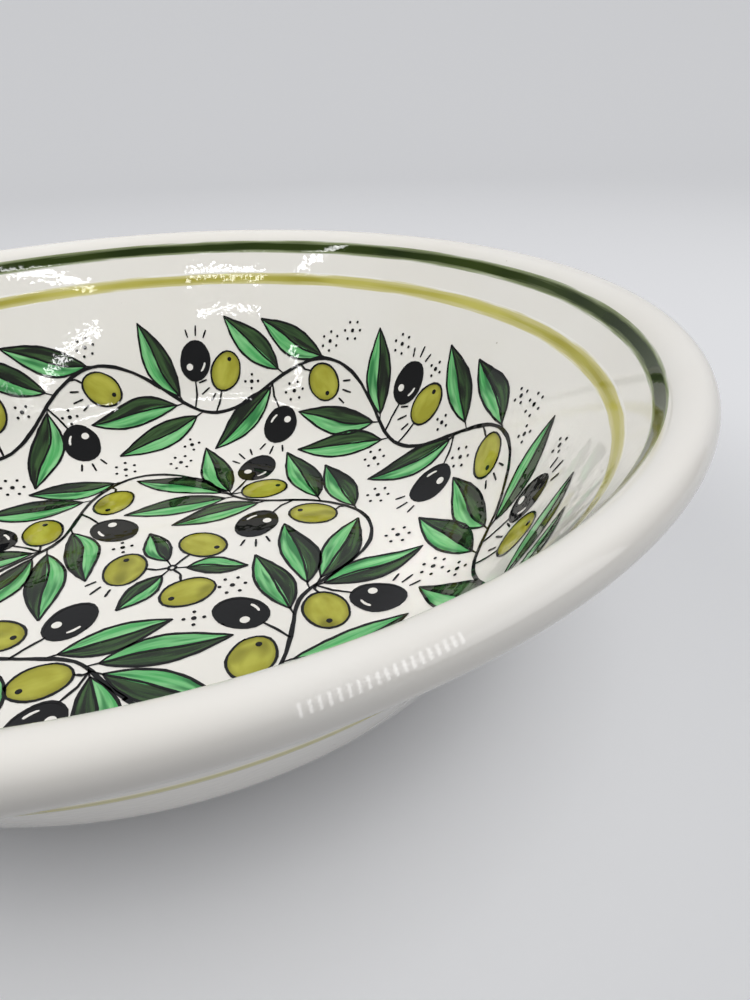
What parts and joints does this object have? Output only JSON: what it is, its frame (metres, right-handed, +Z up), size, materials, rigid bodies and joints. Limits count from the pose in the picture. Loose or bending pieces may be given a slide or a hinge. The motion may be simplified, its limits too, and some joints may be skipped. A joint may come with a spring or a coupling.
{
  "type": "glazed serving bowl",
  "caption": "Round glazed earthenware serving bowl with rolled lip, flared wall, low foot ring, painted rim bands and painted olive sprigs inside.",
  "frame": {"origin": "middle of the foot ring, on the table", "axes": "+Z is up, along the axis of the bowl; +X and +Y are any two level directions"},
  "size_m": [0.2999, 0.3, 0.088],
  "materials": {
    "fired_clay": "matt, bare fired clay",
    "white_glaze": "glossy tin-white glaze",
    "green_band_paint": "glossy brushed colour under clear glaze",
    "olive_band_paint": "glossy brushed colour under clear glaze",
    "black_paint": "glossy black line colour",
    "light_leaf_paint": "glossy brushed wash",
    "dark_leaf_paint": "glossy brushed wash",
    "olive_paint": "glossy brushed wash"
  },
  "bodies": {
    "root": {"clay_body": "fired_clay", "glaze_coat": "white_glaze", "base_glaze": "white_glaze", "green_rim_band": "green_band_paint", "olive_inner_band": "olive_band_paint", "olive_outer_band": "olive_band_paint", "painted_stems": "black_paint", "painted_leaves_light": "light_leaf_paint", "painted_leaves_dark": "dark_leaf_paint", "painted_green_olives": "olive_paint", "painted_black_olives": "black_paint"}
  },
  "joints": []
}
